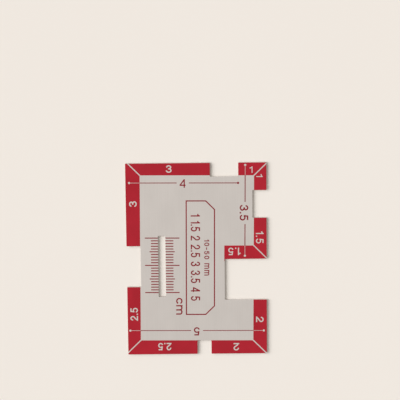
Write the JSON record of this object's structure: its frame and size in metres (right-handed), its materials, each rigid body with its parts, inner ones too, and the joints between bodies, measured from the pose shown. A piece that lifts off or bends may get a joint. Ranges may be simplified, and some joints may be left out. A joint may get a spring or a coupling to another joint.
{
  "type": "sewing gauge",
  "caption": "Flat metal sewing gauge with stepped, notched edges that are marked measures, printed bands, and a narrow buttonhole slot beside a millimetre scale.",
  "frame": {"origin": "middle of the 50 by 70 mm blank, on its underside", "axes": "+X to the right of the printed face, +Y towards the edge of the 3 cm and 1 cm measures, +Z out of the printed face"},
  "size_m": [0.05, 0.07, 0.001],
  "materials": {
    "blank": "fine matt satin, as rolled and tumbled",
    "ink": "dark red screen-printed enamel, low gloss"
  },
  "bodies": {
    "root": {"plate": "blank", "band_3_top": "ink", "band_3_left": "ink", "band_1_top": "ink", "band_1_right": "ink", "band_1_5_right": "ink", "band_1_5_inner": "ink", "band_2_right": "ink", "band_2_bottom": "ink", "band_2_5_bottom": "ink", "band_2_5_left": "ink", "line_4": "ink", "line_3_5": "ink", "line_5": "ink", "buttonhole_scale": "ink", "title_frame": "ink"}
  },
  "joints": []
}
